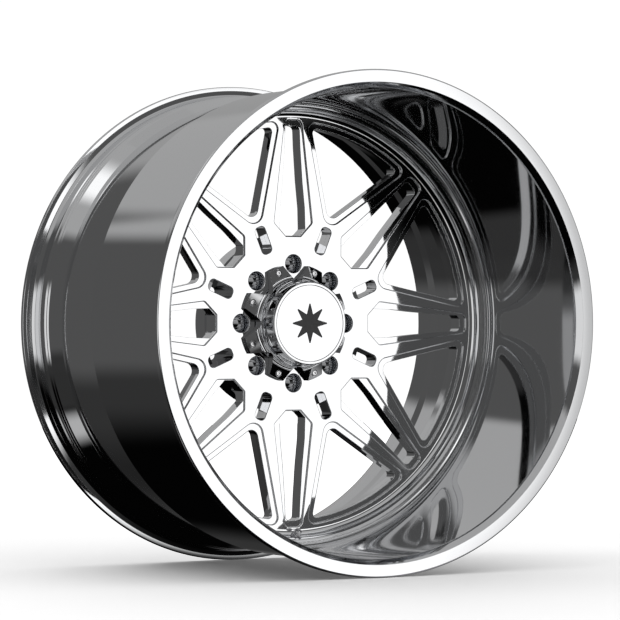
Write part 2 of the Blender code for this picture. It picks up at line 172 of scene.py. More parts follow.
def swing(points, degrees):
    """Points turned about the wheel's axis."""
    c, s = math.cos(math.radians(degrees)), math.sin(math.radians(degrees))
    return [(u * c - v * s, u * s + v * c) for u, v in points]


def at_depth(points, h):
    return [(u, v, h) for u, v in points]


def mirrored(half):
    """Both sides of an outline given by its +v half, as (u, v, corner radius) from the hub outwards."""
    return half + [(u, -v, r) for u, v, r in reversed(half)]


def grown(corners, d):
    """A polygon of (u, v, corner radius) with every side moved outwards by d."""
    pairs = zip(corners, corners[1:] + corners[:1])
    turn = math.copysign(1.0, sum(a[0] * b[1] - b[0] * a[1] for a, b in pairs))
    moved = []
    for i, (u, v, radius) in enumerate(corners):
        here = Vector((u, v))
        before = (here - Vector(corners[i - 1][:2])).normalized()
        after = (Vector(corners[(i + 1) % len(corners)][:2]) - here).normalized()
        normals = [Vector((side.y, -side.x)) * turn for side in (before, after)]
        here += (normals[0] + normals[1]) * (d / (1 + normals[0].dot(normals[1])))
        swell = d if before.cross(after) * turn > 0 else -d
        moved.append((here.x, here.y, max(radius + swell, 0.05) if radius else 0))
    return moved


def rounded(corners, count=6):
    """A polygon of (u, v, corner radius) with each corner replaced by an arc."""
    outline = []
    for i, (u, v, radius) in enumerate(corners):
        here = Vector((u, v))
        if radius == 0:
            outline.append((u, v))
            continue
        before = (Vector(corners[i - 1][:2]) - here).normalized()
        after = (Vector(corners[(i + 1) % len(corners)][:2]) - here).normalized()
        half = before.angle(after) / 2
        middle = (before + after).normalized()
        centre = here + middle * (radius / math.sin(half))
        sweep = math.copysign(math.pi - 2 * half, before.cross(after))
        for a in steps(sweep / 2, -sweep / 2, count):
            outline.append(tuple(centre + Matrix.Rotation(a, 2) @ -middle * radius))
    return outline


def coffin_edge(d):
    """The narrow window's edge in the face, on a spoke's middle line, grown by d."""
    corners = mirrored([(124.3, 12.0, 0.6), (143.5, 31.0, 5.0), (290.5, 13.6, 9.0)])
    return rounded(grown(corners, d), 8)


def coffin_through(d):
    """The narrow window's opening below its ledge, grown by d."""
    corners = mirrored([
        (125.0, 11.3, 0.6), (134.8, 21.0, 2.0), (165.0, 20.2, 60.0),
        (203.0, 16.2, 90.0), (252.0, 12.8, 120.0), (281.5, 11.6, 6.5),
    ])
    return rounded(grown(corners, d), 8)


def fan(tip_u, slope, outer_r, tip_radius, corner_radius):
    """A triangle with straight sides v = slope * (u - tip_u) and an outer side on the circle outer_r."""
    length = math.hypot(1, slope)
    inward = Vector((slope, -1)) / length
    along = Vector((1, slope)) / length
    start = Vector((tip_u, 0)) + inward * corner_radius
    reach = outer_r - corner_radius
    run = -start.dot(along) + math.sqrt(start.dot(along) ** 2 - start.length_squared + reach**2)
    corner = start + along * run
    side = math.atan2(-inward.y, -inward.x)
    end = math.atan2(corner.y, corner.x)
    tip = (tip_u + tip_radius * length / slope, 0)
    half = [polar(tip_radius, a, tip) for a in steps(math.pi, side, 10)]
    half += [polar(corner_radius, a, corner) for a in steps(side, end, 8)]
    half += [polar(outer_r, a) for a in steps(end, 0, 8)[1:]]
    return half + [(u, -v) for u, v in half[-2:0:-1]]


def grown_fan(tip_u, slope, outer_r, tip_radius, corner_radius, d):
    back = d * math.hypot(1, slope) / slope
    return fan(tip_u - back, slope, outer_r + d, tip_radius + d, corner_radius + d)


def fan_edge(d):
    """The wide window's edge in the face, between two spokes, grown by d."""
    return grown_fan(142.9, 0.677, 288.5, 15.4, 10.0, d)


def fan_through(d):
    """The wide window's opening below its ledge, grown by d."""
    return grown_fan(156.0, 0.677, 281.0, 11.0, 6.0, d)


def softened(radius, h, into, count=3):
    """(growth, depth) of a rounded edge, from a face at depth h to a wall that goes on towards into."""
    turns = steps(0, math.pi / 2, count)
    return [(radius * (1 - math.sin(a)), h + into * radius * (1 - math.cos(a))) for a in turns]


def filleted(radius, h, into, count=3):
    """(growth, depth) of the hollow between a wall and a floor at depth h that closes in from it."""
    turns = steps(0, math.pi / 2, count)
    return [(-radius * (1 - math.cos(a)), h - into * radius * (1 - math.sin(a))) for a in turns]


def enclosed(points, loops):
    """Which points have an odd number of the loops round them."""
    u, v = points.T
    odd = np.zeros(len(points), bool)
    for loop in loops:
        for (u0, v0, *_), (u1, v1, *_) in zip(loop, loop[1:] + loop[:1]):
            if v0 != v1:
                odd ^= ((v0 > v) != (v1 > v)) & (u < (u1 - u0) * (v - v0) / (v1 - v0) + u0)
    return odd


# --- bodies -----------------------------------------------------------------------------------------------

class Body:
    """A closed skin made of patches, which are welded where their points meet."""

    def __init__(self, matrix=WHEEL):
        self.matrix = matrix
        self.bm = bmesh.new()

    def vert(self, point):
        return self.bm.verts.new(self.matrix @ Vector(point) * MM)

    def skin(self, rings, closed=True):
        """Quads between rings of (u, v, h), each with the same number of points."""
        rows = [[self.vert(p) for p in ring] for ring in rings]
        count = len(rows[0]) if closed else len(rows[0]) - 1
        for a, b in zip(rows, rows[1:]):
            for i in range(count):
                j = (i + 1) % len(a)
                self.bm.faces.new((a[i], a[j], b[j], b[i]))

    def lathe(self, profile, count=TURNS, centre=(0.0, 0.0)):
        """A turned skin along an open profile of (r, h)."""
        self.skin([at_depth(circle(r, count, centre), h) for r, h in profile])

    def flat(self, h, loops):
        """A flat face at depth h, bounded by closed loops of (u, v), any of which may be a hole."""
        points, edges = [], []
        for loop in loops:
            first = len(points)
            points += [Vector(p[:2]) for p in loop]
            edges += [(first + i, first + (i + 1) % len(loop)) for i in range(len(loop))]
        whole_hull = 0
        placed, _, faces, *_ = delaunay_2d_cdt(points, edges, [], whole_hull, 1e-5)
        middles = np.array([sum((placed[i] for i in face), Vector((0, 0))) / 3 for face in faces])
        verts = [self.vert((p.x, p.y, h)) for p in placed]
        for face, kept in zip(faces, enclosed(middles, loops)):
            if kept:
                self.bm.faces.new([verts[i] for i in face])

    def piece(self, name, material, slot, *nodes, body="wheel", sharp_deg=32.0, cutters=()):
        """The finished piece: welded, its faces out, riding on its body in place of its CAD nodes."""
        bm = self.bm
        bmesh.ops.remove_doubles(bm, verts=bm.verts, dist=WELD_M)
        bmesh.ops.recalc_face_normals(bm, faces=bm.faces)
        mesh = bpy.data.meshes.new(name)
        bm.to_mesh(mesh)
        bm.free()
        obj = bpy.data.objects.new(name, mesh)
        bpy.context.scene.collection.objects.link(obj)
        for cutter in cutters:
            carve(obj, cutter)
        obj.data.shade_smooth()
        obj.data.set_sharp_from_angle(angle=math.radians(sharp_deg))
        normals = obj.modifiers.new("weighted_normals", "WEIGHTED_NORMAL")
        normals.keep_sharp = True
        obj.data.materials.clear()
        obj.data.materials.append(material)
        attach(obj, body)
        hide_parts(*nodes)
        return obj


def carve(obj, cutter):
    """Takes one Body's shape out of an object for good."""
    bm = cutter.bm
    bmesh.ops.remove_doubles(bm, verts=bm.verts, dist=WELD_M)
    bmesh.ops.recalc_face_normals(bm, faces=bm.faces)
    mesh = bpy.data.meshes.new("cutter")
    bm.to_mesh(mesh)
    bm.free()
    tool = bpy.data.objects.new("cutter", mesh)
    bpy.context.scene.collection.objects.link(tool)
    modifier = obj.modifiers.new("cut", "BOOLEAN")
    modifier.operation = "DIFFERENCE"
    modifier.solver = "EXACT"
    modifier.object = tool
    bpy.context.view_layer.update()
    evaluated = obj.evaluated_get(bpy.context.evaluated_depsgraph_get())
    solid = bpy.data.meshes.new_from_object(evaluated)
    obj.modifiers.remove(modifier)
    bpy.data.objects.remove(tool)
    bm = bmesh.new()
    bm.from_mesh(solid)
    bmesh.ops.remove_doubles(bm, verts=bm.verts, dist=SLIVER_M)
    bm.to_mesh(solid)
    bm.free()
    obj.data = solid


def valve_cutter():
    """The stem's hole with its two flat seats, as a closed body."""
    far = 48.0
    cutter = Body(VALVE)
    cutter.lathe([
        (0.0, -far), (SPOTFACE_R, -far), (SPOTFACE_R, VALVE_INNER_SEAT), (STEM_R + GAP, VALVE_INNER_SEAT),
        (STEM_R + GAP, 0.0), (SPOTFACE_R, 0.0), (SPOTFACE_R, far), (0.0, far),
    ], 64)
    return cutter


# --- materials --------------------------------------------------------------------------------------------

class Nodes:
    """A material's node tree, with a short way to add and join nodes."""

    def __init__(self, tree):
        self.tree = tree

    def add(self, kind, settings=None, **inputs):
        node = self.tree.nodes.new(kind)
        for key, value in (settings or {}).items():
            setattr(node, key, value)
        for key, value in inputs.items():
            self.feed(node.inputs[key.replace("_", " ")], value)
        return node

    def feed(self, socket, value):
        if isinstance(value, bpy.types.NodeSocket):
            self.tree.links.new(value, socket)
        else:
            socket.default_value = value

    def math(self, operation, a, b=0.0, c=0.0):
        node = self.tree.nodes.new("ShaderNodeMath")
        node.operation = operation
        for socket, value in zip(node.inputs, (a, b, c)):
            self.feed(socket, value)
        return node.outputs[0]

    def between(self, value, low, high, start=0.0, end=1.0, smooth=False):
        """value mapped from low..high to start..end, and held there outside."""
        node = self.tree.nodes.new("ShaderNodeMapRange")
        node.interpolation_type = "SMOOTHSTEP" if smooth else "LINEAR"
        for socket, number in zip(node.inputs, (value, low, high, start, end)):
            self.feed(socket, number)
        return node.outputs[0]


def new_material(name, colour, metallic):
    """A material with its shader's plain values set, and its tree, ready for more nodes."""
    mat = bpy.data.materials.new(name)
    mat.use_nodes = True
    shader = mat.node_tree.nodes["Principled BSDF"]
    shader.inputs["Base Color"].default_value = (*colour, 1.0)
    shader.inputs["Metallic"].default_value = metallic
    mat.diffuse_color = (*colour, 1.0)
    return mat, shader, Nodes(mat.node_tree)


def noise(nodes, vector, scale, detail=2.0, roughness=0.5):
    texture = nodes.add("ShaderNodeTexNoise", Vector=vector, Scale=scale, Detail=detail, Roughness=roughness)
    return texture.outputs["Fac"]


def place_of(nodes):
    return nodes.add("ShaderNodeTexCoord").outputs["Object"]


def turned_place(nodes, across, around):
    """Coordinates that follow a cut turned about the wheel's axis: fine across it, long around it."""
    apart = nodes.add("ShaderNodeSeparateXYZ", Vector=place_of(nodes))
    x, y, z = apart.outputs
    radius = nodes.math("SQRT", nodes.math("ADD", nodes.math("MULTIPLY", x, x), nodes.math("MULTIPLY", z, z)))
    angle = nodes.math("ARCTAN2", x, z)
    joined = nodes.add("ShaderNodeCombineXYZ")
    nodes.feed(joined.inputs[0], nodes.math("MULTIPLY", radius, across))
    nodes.feed(joined.inputs[1], nodes.math("MULTIPLY", y, across))
    nodes.feed(joined.inputs[2], nodes.math("MULTIPLY", angle, around))
    return joined.outputs[0]


def polished(name, colour, smooth, rough, wave, cut):
    """Buffed metal: hazy patches, hairlines left by the last turned cut, and a skin not quite flat."""
    mat, shader, nodes = new_material(name, colour, 1.0)
    place = place_of(nodes)
    haze = noise(nodes, place, 14.0, 4.0, 0.6)
    lines = noise(nodes, turned_place(nodes, 1400.0, 3.0), 1.0, 3.0, 0.6)
    marks = nodes.math("ADD", nodes.math("MULTIPLY", haze, 0.65), nodes.math("MULTIPLY", lines, 0.35))
    nodes.feed(shader.inputs["Roughness"], nodes.between(marks, 0.3, 0.75, smooth, rough))
    swell = noise(nodes, place, 22.0, 2.0)
    height = nodes.math("ADD", nodes.math("MULTIPLY", swell, wave), nodes.math("MULTIPLY", lines, cut))
    bump = nodes.add("ShaderNodeBump", Height=height, Strength=1.0, Distance=0.001)
    nodes.feed(shader.inputs["Normal"], bump.outputs[0])
    return mat


def grained(name, colour, metallic, roughness, scale, relief, other=None):
    """A fine-grained surface: its colour, roughness and height all follow one grain."""
    mat, shader, nodes = new_material(name, colour, metallic)
    place = place_of(nodes)
    grain = noise(nodes, place, scale, 5.0, 0.6)
    patch = noise(nodes, place, scale / 12, 2.0)
    shade = nodes.add("ShaderNodeMix", {"data_type": "RGBA"}, Factor=nodes.between(patch, 0.35, 0.65))
    dark = other or tuple(c * 0.7 for c in colour)
    nodes.feed(shade.inputs[6], (*colour, 1.0))
    nodes.feed(shade.inputs[7], (*dark, 1.0))
    nodes.feed(shader.inputs["Base Color"], shade.outputs[2])
    nodes.feed(shader.inputs["Roughness"], nodes.between(grain, 0.3, 0.7, roughness * 0.8, roughness * 1.2))
    bump = nodes.add("ShaderNodeBump", Height=grain, Strength=0.6, Distance=relief)
    nodes.feed(shader.inputs["Normal"], bump.outputs[0])
    return mat


RIM_METAL = polished("rim_metal", (0.80, 0.805, 0.815), 0.025, 0.07, 0.010, 0.0010)
CENTRE_METAL = polished("centre_metal", (0.83, 0.835, 0.845), 0.02, 0.06, 0.008, 0.0006)
CAP_METAL = polished("cap_metal", (0.84, 0.845, 0.855), 0.02, 0.05, 0.004, 0.0005)
SCREW_METAL = polished("screw_metal", (0.74, 0.74, 0.75), 0.08, 0.18, 0.002, 0.0008)
VALVE_METAL = polished("valve_metal", (0.80, 0.80, 0.81), 0.04, 0.10, 0.002, 0.0005)
WELD_METAL = grained("weld_metal", (0.56, 0.57, 0.59), 1.0, 0.32, 900.0, 0.00006, (0.36, 0.35, 0.35))
INLAY = grained("inlay", (0.045, 0.046, 0.050), 0.0, 0.34, 1600.0, 0.00002, (0.036, 0.037, 0.040))
FOAM = grained("foam", (0.05, 0.05, 0.052), 0.0, 0.92, 2600.0, 0.0002)
RUBBER = grained("rubber", (0.022, 0.022, 0.024), 0.0, 0.62, 1800.0, 0.00004, (0.045, 0.044, 0.043))
BRASS = grained("brass", (0.78, 0.60, 0.30), 1.0, 0.18, 700.0, 0.00002, (0.62, 0.45, 0.20))


# --- rim --------------------------------------------------------------------------------------------------

def rim_barrel():
    """Front flange, deep lip, drop well, rear seat and flange, turned from one soft-cornered section."""
    outside = [
        (FLANGE_R, FRONT, 2.2), (FLANGE_R, FRONT + 10.5, 1.2), (SEAT_R, FRONT + 12.8, 5.0),
        (SEAT_R, FRONT_SECTION_END - 2.5, 1.0), (SEAT_R - 1.2, FRONT_SECTION_END, 1.0),
        (WELL_R, 33.0, 2.0), (SEAT_R - 0.7, 55.0, 2.5),
    ]
    rear_beads = [
        (SEAT_R + 1.4, 57.5, 1.0), (SEAT_R - 0.7, 60.0, 1.0), (SEAT_R - 0.7, 62.0, 1.5),
        (SEAT_R + 1.8, 65.5, 1.5), (SEAT_R - 0.7, 69.5, 1.5),
        (SEAT_R - 0.2, 76.0, 1.0), (SEAT_R + 1.0, 78.5, 0.8), (SEAT_R - 0.1, 81.0, 1.0),
    ]
    rear_flange = [
        (SEAT_R + 1.0, REAR - 15.0, 3.0), (SEAT_R + 4.0, REAR - 10.0, 2.5),
        (FLANGE_R - 6.0, REAR - 8.6, 1.0), (FLANGE_R, REAR - 8.0, 1.2), (FLANGE_R, REAR, 2.0),
    ]
    brake_side = [
        (REAR_MOUTH_R, REAR, 2.0), (REAR_MOUTH_R, 73.0, 8.0), (REAR_INNER_R, 49.0, 8.0),
        (REAR_INNER_R, SEAM_BACK, 1.0), (SEAM_R + GAP, SEAM_BACK, 0.4), (SEAM_R + GAP, SEAM_FRONT, 0.4),
    ]
    step_by_the_seam = [
        (309.2, -78.2, 0.4), (311.0, -79.6, 0.7), (312.4, -78.6, 0.5),
        (314.4, -79.4, 0.4), (314.8, -81.4, 0.4), (317.6, -82.0, 1.2),
    ]
    lip = [
        (LIP_BACK_R, LIP_BACK, 6.0), (LIP_FRONT_R, FRONT + 9.0, 6.0), (LIP_FRONT_R + 4.4, FRONT + 3.4, 3.0),
        (SEAT_R - 1.6, FRONT + 1.1, 0.6), (SEAT_R - 0.6, FRONT, 0.5),
    ]
    section = rounded(outside + rear_beads + rear_flange + brake_side + step_by_the_seam + lip, 4)
    body = Body()
    body.lathe(section + section[:1])
    return body.piece("rim_barrel_fine", RIM_METAL, "polished_rim", "rim_barrel", cutters=[valve_cutter()])


def weld_bead():
    """The ring of weld on the brake side of the seam, with a ripple for every dab of the torch."""
    body = Body()
    ripples, per_ripple = 240, 4
    rows = []
    for i in range(ripples * per_ripple):
        a = math.tau * i / (ripples * per_ripple)
        dab = 0.45 * (1 - (i % per_ripple) / per_ripple)
        lift = dab + 0.12 * math.sin(a * 37) + 0.1 * math.sin(a * 91 + 2)
        row = []
        for b in steps(0, math.pi, 8):
            r = SEAM_R + 0.15 + (3.6 + 0.3 * lift) * math.cos(b)
            h = SEAM_BACK + GAP + (2.6 + lift) * math.sin(b)
            row.append((r * math.cos(a), r * math.sin(a), h))
        rows.append(row)
    body.skin(rows + rows[:1])
    return body.piece("weld_bead_fine", WELD_METAL, "weld", "weld_bead", sharp_deg=60.0)


# --- centre -----------------------------------------------------------------------------------------------

def window(body, cutter, edge_at, through_at, degrees, fine):
    """One window: softened edge, milled ledge and the first of its wall. The cutter takes it on through."""
    def rings(outline_at, sections):
        return [at_depth(swing(outline_at(d), degrees), h) for d, h in sections]

    ledge = FACE + LEDGE
    upper = rings(edge_at, softened(1.5, FACE, 1, 4) + filleted(0.9 * fine, ledge, 1))
    lower = rings(through_at, softened(fine, ledge, 1) + [(0.0, MILLED_TO)])
    body.skin(upper)
    body.skin(lower)
    body.flat(ledge, [upper[-1], lower[0]])
    body.flat(MILLED_TO, [lower[-1]])
    draft = math.tan(math.radians(3.0))
    chamfer = 0.9
    bevel_from = SPOKE_BACK - chamfer
    grown_there = (bevel_from - MILLED_TO) * draft - CLEAR
    past_back = grown_there + 1.1 * chamfer
    prism(cutter, rings(through_at, [
        (-2 * draft - CLEAR, MILLED_TO - 2.0), (grown_there, bevel_from),
        (past_back, SPOKE_BACK + 0.1 * chamfer), (past_back, PAST_SPOKES),
    ]))
    return upper[0]


def prism(body, rings):
    """A closed body through rings, flat at both ends."""
    body.skin(rings)
    for ring in (rings[0], rings[-1]):
        body.flat(ring[0][2], [ring])


def slot_outline(d):
    corners = mirrored([(SLOT_IN_R, SLOT_HALF, SLOT_CORNER_R), (SLOT_OUT_R, SLOT_HALF, SLOT_CORNER_R)])
    return rounded(grown(corners, d), 8)


def slot(body, cutter, degrees):
    """One slot over the hub pad's edge: softened edge and the first of its wall. The cutter goes on down."""
    sections = softened(1.0, FACE, 1) + [(0.0, MILLED_TO)]
    upper = [at_depth(swing(slot_outline(d), degrees), h) for d, h in sections]
    body.skin(upper)
    body.flat(MILLED_TO, [upper[-1]])
    lower = [at_depth(swing(slot_outline(-CLEAR), degrees), h) for h in (MILLED_TO - 2.0, SLOT_FLOOR)]
    prism(cutter, lower)
    return upper[0]


def lug_hole(body, degrees):
    """A lug hole with a conical seat. Returns its holes in the face and in the pad's back."""
    centre = swing([(LUG_CIRCLE_R, 0.0)], degrees)[0]
    cone_bottom = LUG_CONE_TOP + (LUG_MOUTH_R - LUG_STUD_R) / math.tan(math.radians(30.0))
    profile = [(LUG_MOUTH_R + d, h) for d, h in softened(0.8, FACE, 1)]
    profile += [(LUG_MOUTH_R, LUG_CONE_TOP), (LUG_STUD_R, cone_bottom)]
    profile += [(LUG_STUD_R + d, h) for d, h in softened(0.5, 0.0, -1)[::-1]]
    body.lathe(profile, 64, centre)
    return circle(profile[0][0], 64, centre), circle(profile[-1][0], 64, centre)


def tapped_hole(body, degrees):
    """A blind hole for a cap screw. Returns its hole in the face."""
    centre = swing([(SCREW_CIRCLE_R, 0.0)], degrees)[0]
    r = SCREW_SHANK_R + GAP
    body.lathe([(r, FACE), (r, SCREW_END + 1.0), (0.0, SCREW_END + 2.0)], 24, centre)
    return circle(r, 24, centre)


def wheel_centre():
    """The spoked forging, with flat polished faces and a small radius on every front edge."""
    body, cutter = Body(), Body()
    face = [circle(COVE_R, TURNS), circle(BORE_R + 1.0, 128)]
    pad = [circle(PAD_R - 1.0, TURNS), circle(BORE_R + 1.5, 128)]
    for k in range(SPOKES):
        on_spoke, between = PITCH_DEG * k, PITCH_DEG * (k + 0.5)
        face.append(window(body, cutter, coffin_edge, coffin_through, on_spoke, 0.35))
        face.append(window(body, cutter, fan_edge, fan_through, between, 0.6))
        face.append(slot(body, cutter, between))
        face.append(tapped_hole(body, between))
        front_hole, stud_hole = lug_hole(body, on_spoke)
        face.append(front_hole)
        pad.append(stud_hole)
    body.flat(FACE, face)
    body.flat(0.0, pad)
    cove = [
        (COVE_R + 11.5 * math.cos(a), SEAM_FRONT + (FACE - SEAM_FRONT) * math.sin(a))
        for a in steps(math.pi / 2, 0, 16)
    ]
    seam = [
        (SEAM_R - 0.5, SEAM_FRONT), (SEAM_R, SEAM_FRONT + 0.5),
        (SEAM_R, SEAM_BACK - 0.6), (SEAM_R - 0.6, SEAM_BACK),
        (298.0, SEAM_BACK), (296.8, SEAM_BACK - 0.5), (295.6, SPOKE_BACK + 0.4), (295.0, SPOKE_BACK),
    ]
    fillet = [
        (PAD_R + PAD_FILLET * (1 - math.cos(a)), SPOKE_BACK + PAD_FILLET * (1 - math.sin(a)))
        for a in steps(math.pi / 2, 0, 8)
    ]
    body.lathe(cove + seam + fillet + [(PAD_R, -1.0), (PAD_R - 0.3, -0.3), (PAD_R - 1.0, 0.0)])
    body.lathe([(BORE_R + 1.0, FACE), (BORE_R, FACE + 1.0), (BORE_R, -1.5), (BORE_R + 1.5, 0.0)], 128)
    return body.piece(
        "wheel_centre_fine", CENTRE_METAL, "polished_centre", "wheel_centre", cutters=[cutter, valve_cutter()]
    )


# --- centre cap -------------------------------------------------------------------------------------------

def cap_cutter():
    """Scallops round the lug holes, which leave eight tabs and bite into the cove, and the screws' holes."""
    cutter = Body()
    low, high = COVE_TOP - 2.0, FACE + 1.0
    half_width = SCALLOP_SLOPE * (SCALLOP_OUT_R - SCALLOP_TIP_R)
    scallop = rounded([
        (SCALLOP_TIP_R, 0.0, SCALLOP_CORNER_R),
        (SCALLOP_OUT_R, -half_width, 0), (SCALLOP_OUT_R, half_width, 0),
    ], 24)
    head_r, shank_r = SCREW_HEAD_R + GAP, SCREW_SHANK_R + GAP
    hole = [
        (0.0, low), (head_r, low), (head_r, SCREW_SEAT),
        (shank_r, SCREW_SEAT), (shank_r, high), (0.0, high),
    ]
    for k in range(SPOKES):
        outline = swing(scallop, PITCH_DEG * k)
        prism(cutter, [at_depth(outline, h) for h in (low, high)])
        cutter.lathe(hole, 48, swing([(SCREW_CIRCLE_R, 0.0)], PITCH_DEG * (k + 0.5))[0])
    return cutter


def cap_body():
    """The hollow cap: spigot, coned collar of tabs, cove, band, and a recessed top for the badge."""
    base = FACE - GAP
    tabs = rounded([
        (SPIGOT_R, base, 0), (TAB_R, base, 0.3), (TAB_R, TAB_EDGE, 0.7), (COLLAR_R, TAB_TOP, 0),
    ], 4)
    bead = [(COLLAR_R - 0.3, TAB_TOP - 0.9), (COLLAR_R - 0.9, TAB_TOP - 1.3), (COLLAR_R - 1.5, TAB_TOP - 1.2)]
    foot_r, foot = COLLAR_R - 1.9, TAB_TOP - 0.9
    cove = [
        (BAND_R + (foot_r - BAND_R) * (1 - math.cos(a)), COVE_TOP + (foot - COVE_TOP) * math.sin(a))
        for a in steps(math.pi / 2, 0, 14)
    ]
    crown = rounded([
        (BAND_R, COVE_TOP - 4.0, 0), (BAND_R, CAP_TOP + 1.9, 1.0), (BAND_R - 1.9, CAP_TOP, 1.0),
        (BADGE_R + GAP, CAP_TOP, 0.5), (BADGE_R + GAP, BADGE_FLOOR, 0),
    ], 5)
    o_ring_groove = [
        (SPIGOT_R, -56.4), (SPIGOT_R - 2.4, -56.4), (SPIGOT_R - 2.4, -60.2), (SPIGOT_R, -60.2),
    ]
    under = [
        (0.0, BADGE_FLOOR + 3.6), (CAP_WALL_IN_R - 4.0, BADGE_FLOOR + 3.6),
        (CAP_WALL_IN_R - 1.2, BADGE_FLOOR + 4.8), (CAP_WALL_IN_R, BADGE_FLOOR + 7.6),
        (CAP_WALL_IN_R, SPIGOT_END), (SPIGOT_R - 0.8, SPIGOT_END), (SPIGOT_R, SPIGOT_END - 0.8),
        *o_ring_groove, (SPIGOT_R, base),
    ]
    body = Body()
    body.lathe(tabs + bead + cove + crown + [(0.0, BADGE_FLOOR)], 256)
    body.lathe(under, 256)
    return body.piece("cap_body_fine", CAP_METAL, "cap", "cap_body", sharp_deg=28.0, cutters=[cap_cutter()])


def rosette(grow):
    """An eight-pointed star with slightly blunt points."""
    corners = []
    for i in range(2 * SPOKES):
        r, blunt = (30.0, 0.8) if i % 2 == 0 else (13.0, 0.5)
        corners.append((*polar(r, math.pi * i / SPOKES), blunt))
    return rounded(grown(corners, grow), 4)


def cap_badge():
    """The disc in the cap's top, with a pocket for its inlay, and the inlay in it."""
    badge = Body()
    underside = badge_high.y
    pocket = [at_depth(rosette(d + GAP), h) for d, h in softened(0.2, BADGE_TOP, 1, 2)]
    pocket.append(at_depth(rosette(GAP), BADGE_TOP + 1.0))
    badge.skin(pocket)
    badge.flat(BADGE_TOP + 1.0, [pocket[-1]])
    badge.flat(BADGE_TOP, [circle(BADGE_R - 0.5, 256), pocket[0]])
    rim = [
        (BADGE_R - 0.5 * (1 - math.sin(a)), BADGE_TOP + 0.5 * (1 - math.cos(a)))
        for a in steps(0, math.pi / 2, 4)
    ]
    badge.lathe(rim + [(BADGE_R, underside), (0.0, underside)], 256)
    badge.piece("cap_badge_fine", CAP_METAL, "cap", "cap_badge")

    inlay = Body()
    sides = [at_depth(rosette(-0.25 + d), h) for d, h in ((0.0, inlay_low.y), (0.25, inlay_low.y + 0.25))]
    sides.append(at_depth(rosette(0.0), inlay_high.y))
    inlay.skin(sides)
    inlay.flat(inlay_low.y, [sides[0]])
    inlay.flat(inlay_high.y, [sides[-1]])
    inlay.piece("badge_inlay_fine", INLAY, "inlay", "badge_inlay")


def cap_screw(k):
    """A button-head screw with a hexagon socket and a rolled thread."""
    degrees = PITCH_DEG * (k - 0.5)
    centre = swing([(SCREW_CIRCLE_R, 0.0)], degrees)[0]
    under = SCREW_SEAT - GAP
    head = [(SCREW_HEAD_R, under), (SCREW_HEAD_R, under - 0.9)]
    head += [
        (SCREW_HEAD_R - 2.2 * (1 - math.cos(a)), under - 0.9 - 1.7 * math.sin(a))
        for a in steps(math.radians(12), math.pi / 2, 8)
    ]
    thread = []
    pitch, crest, root = 0.7, SCREW_SHANK_R, SCREW_SHANK_R - 0.35
    count = int((SCREW_END - 0.8 - FACE) / pitch)
    for i in range(count):
        h = SCREW_END - 0.8 - i * pitch
        thread += [(root, h), (crest, h - 0.25), (crest, h - 0.4)]
    body = Body()
    body.lathe([(0.0, SCREW_END), (root - 0.3, SCREW_END)] + thread + [(crest, under)] + head, 48, centre)
    mouth, floor = under - 2.6, under - 0.9
    hexagon = circle(1.7, 6)
    ring = [(u, v) for a, b in zip(hexagon, hexagon[1:] + hexagon[:1])
            for u, v in [tuple(Vector(a).lerp(Vector(b), t)) for t in (0, 0.25, 0.5, 0.75)]]

    def socket(scale, h):
        return [(*swing([(SCREW_CIRCLE_R + u * scale, v * scale)], degrees)[0], h) for u, v in ring]

    rows = [socket(1.12, mouth), socket(1.0, mouth + 0.2), socket(1.0, floor), socket(0.0, floor + 0.5)]
    body.skin(rows)
    body.flat(mouth, [circle(head[-1][0], 48, centre), rows[0]])
    return body.piece(f"cap_screw_{k}_fine", SCREW_METAL, "screw_steel", f"cap_screw_{k}")


# --- valve ------------------------------------------------------------------------------------------------

def threaded(top, bottom, crest, pitch=0.8):
    """(r, h) along a rolled thread from top down to bottom."""
    profile = []
    h = top
    while h - pitch > bottom:
        profile += [(crest, h), (crest, h - 0.15 * pitch)]
        profile += [(crest - 0.35, h - 0.5 * pitch), (crest, h - 0.85 * pitch)]
        h -= pitch
    return profile


def valve_stem():
    seat = VALVE_INNER_SEAT - GAP
    flange_top = seat - 2.4 - GAP
    bore_r = 2.0
    body = Body(VALVE)
    outside = [(bore_r + 0.3, STEM_END), (STEM_R - 0.8, STEM_END)]
    outside += threaded(STEM_END - 0.7, -2.0, STEM_R)
    outside += [(STEM_R, -2.8), (STEM_R, flange_top), (7.1, flange_top), (7.4, flange_top - 0.3)]
    outside += [(7.4, flange_top - 2.0), (7.1, flange_top - 2.7), (6.6, flange_top - 3.0)]
    inside = [(bore_r, flange_top - 3.0), (bore_r, STEM_END - 0.3), (bore_r + 0.3, STEM_END)]
    body.lathe(outside + inside, 64)
    return body.piece("valve_stem_fine", VALVE_METAL, "valve_metal", "valve_stem")


def valve_nut():
    """A hexagon nut whose top corners are turned off, over a rolled thread."""
    low, flats, height = 1.3 + GAP, 12.0, 5.0
    top = low + height
    turned_r = flats / 2 - 0.25
    count = 96
    slope = math.tan(math.radians(30.0))

    def hexagon(i):
        off = (math.tau * i / count) % (math.pi / 3) - math.pi / 6
        return flats / 2 / math.cos(off)

    def ring(radius_at, depth_at):
        radii = [radius_at(hexagon(i)) for i in range(count)]
        return [
            (*polar(r, math.tau * i / count), depth_at(hexagon(i)))
            for i, r in enumerate(radii)
        ]

    bore = STEM_R + GAP
    rows = [
        ring(lambda r: bore, lambda r: low), ring(lambda r: turned_r, lambda r: low),
        ring(lambda r: r, lambda r: low + 0.25), ring(lambda r: r, lambda r: top - (r - turned_r) * slope),
        ring(lambda r: turned_r, lambda r: top), ring(lambda r: bore + 0.5, lambda r: top),
        ring(lambda r: bore, lambda r: top - 0.5), ring(lambda r: bore, lambda r: low),
    ]
    body = Body(VALVE)
    body.skin(rows)
    return body.piece("valve_nut_fine", VALVE_METAL, "valve_metal", "valve_nut", sharp_deg=20.0)


